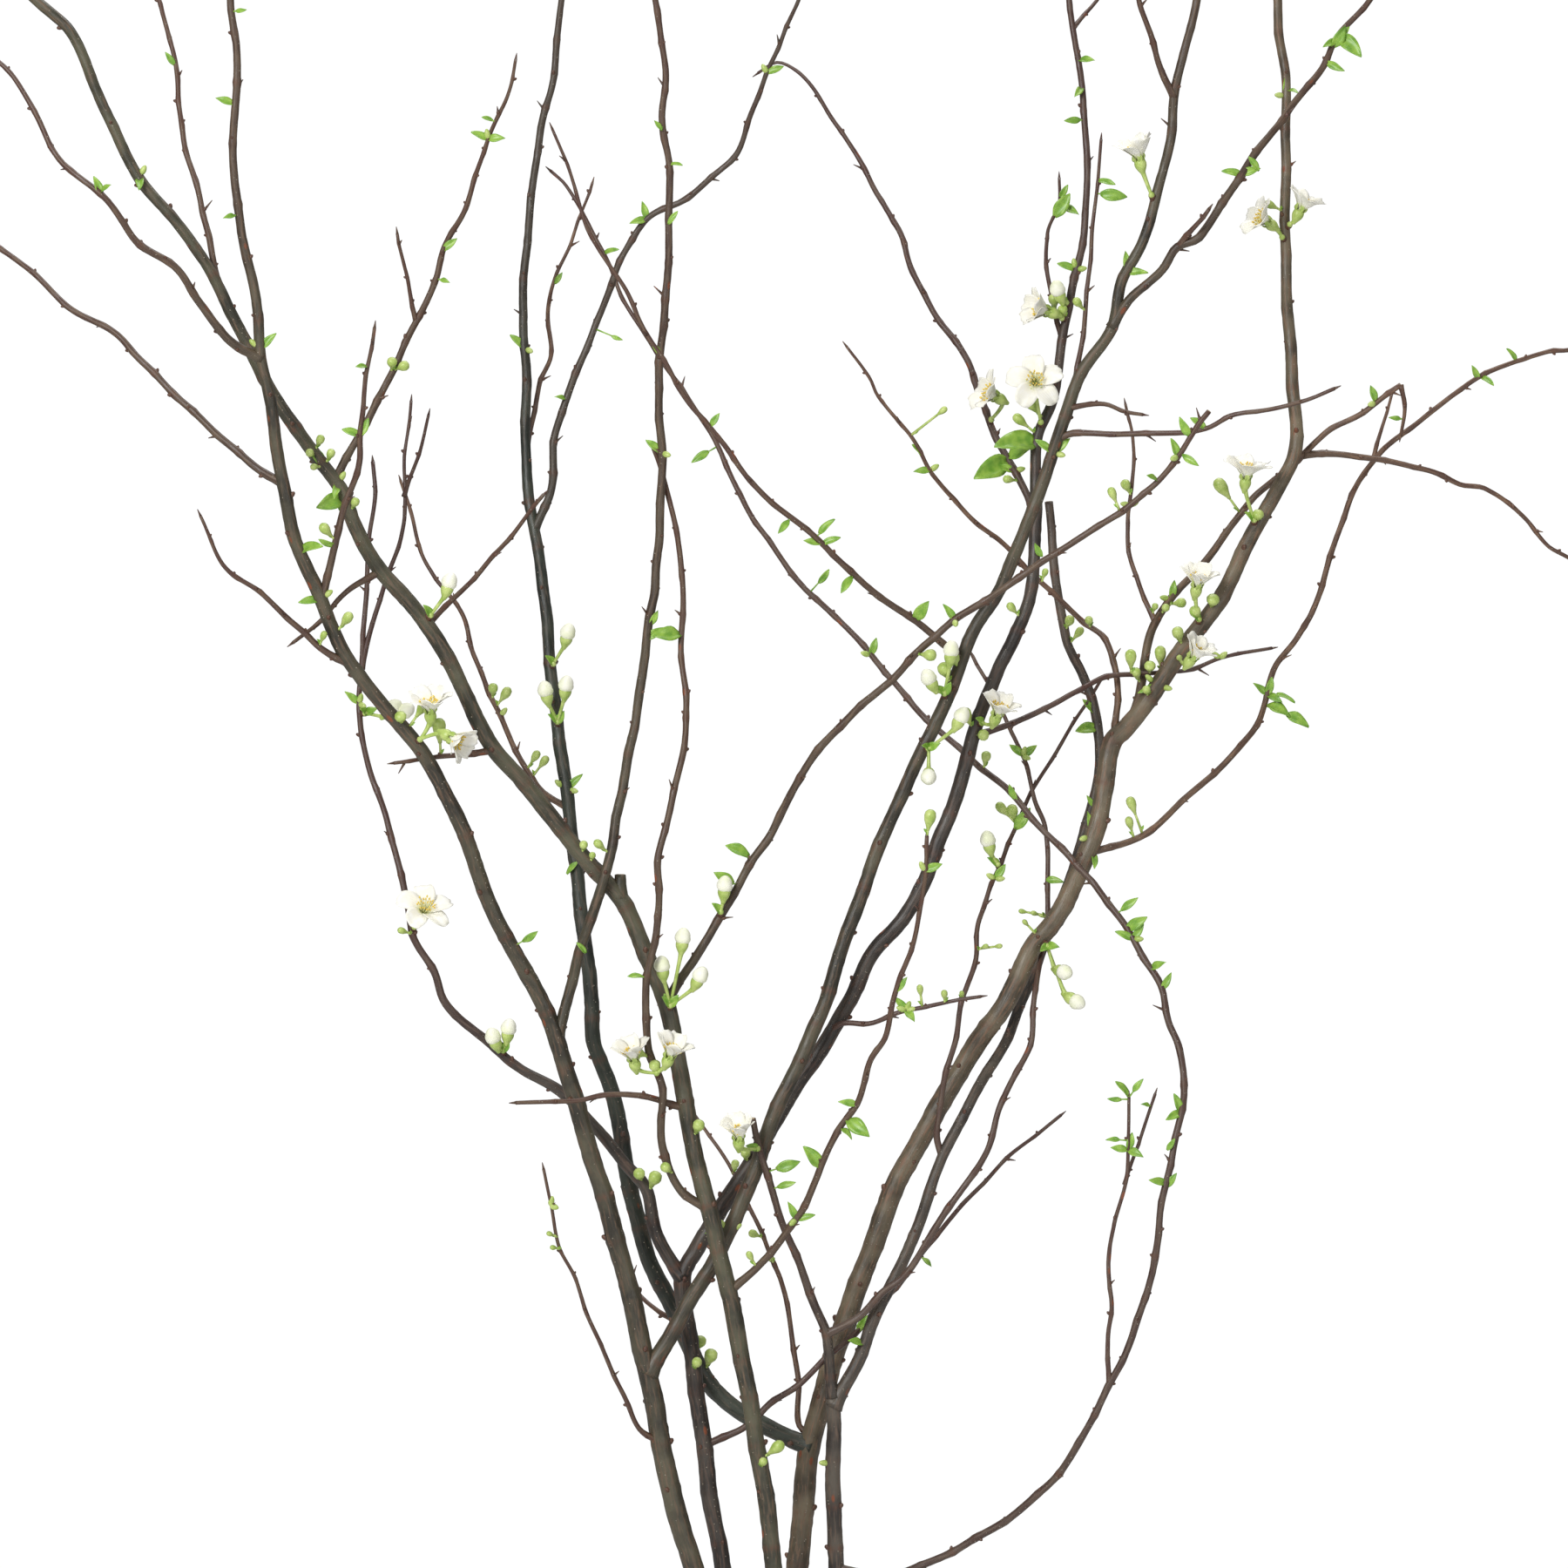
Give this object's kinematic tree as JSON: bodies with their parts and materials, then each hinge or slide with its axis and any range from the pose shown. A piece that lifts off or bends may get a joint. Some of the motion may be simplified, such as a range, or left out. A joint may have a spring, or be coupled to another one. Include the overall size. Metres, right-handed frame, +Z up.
{
  "type": "flowering quince branches in a vase",
  "caption": "Tall cut branches of flowering quince with ivory blooms, closed buds and young leaves, standing in a plain cylindrical glass vase with water.",
  "frame": {"origin": "centre of the vase's flat underside", "axes": "+Z up along the vase, -Y towards the viewer of the picture, +X to the picture's right"},
  "size_m": [0.9617, 0.2869, 1.3882],
  "materials": {
    "bark": "dark red-brown bark with pale pores",
    "bark_grey": "grey-brown bark with pale lenticels and rings",
    "bark_olive": "olive-brown bark",
    "green": "fresh green plant tissue",
    "petal": "soft ivory petals, slightly translucent",
    "bud": "closed cream buds on green stalks",
    "stamen": "yellow stamens",
    "glass": "clear glass, plain",
    "water": "clear water"
  },
  "bodies": {
    "root": {"branch_1_wood": "bark", "branch_2_wood": "bark", "branch_3_wood": "bark", "branch_4_wood": "bark_grey", "branch_5_wood": "bark_olive", "spray_01": "green", "spray_01_petals_1": "petal", "spray_01_stamens_1": "stamen", "spray_02": "green", "spray_02_petals_1": "petal", "spray_02_stamens_1": "stamen", "spray_03": "green", "spray_03_petals_1": "petal", "spray_04": "green", "spray_04_petals_1": "petal", "spray_05": "green", "spray_05_petals_1": "petal", "spray_05_stamens_1": "stamen", "spray_06": "green", "spray_06_petals_1": "petal", "spray_06_stamens_1": "stamen", "spray_07": "green", "spray_07_petals_1": "petal", "spray_07_stamens_1": "stamen", "spray_08": "green", "spray_08_petals_1": "petal", "spray_09": "green", "spray_09_petals_1": "petal", "spray_10": "green", "spray_10_petals_1": "petal", "spray_11": "green", "spray_11_petals_1": "petal", "spray_11_petals_2": "petal", "spray_12": "green", "spray_12_petals_1": "petal", "spray_12_stamens_1": "stamen", "spray_13": "green", "spray_13_petals_1": "petal", "spray_13_petals_2": "petal", "spray_14": "green", "spray_14_petals_1": "petal", "spray_15": "bud", "spray_16": "bud", "spray_17": "bud", "spray_18": "bud", "spray_19": "bud", "spray_20": "bud", "spray_21": "bud", "spray_22": "bud", "spray_23": "bud", "spray_24": "bud", "spray_25": "bud", "spray_26": "bud", "vase": "glass", "water": "water"}
  },
  "joints": []
}
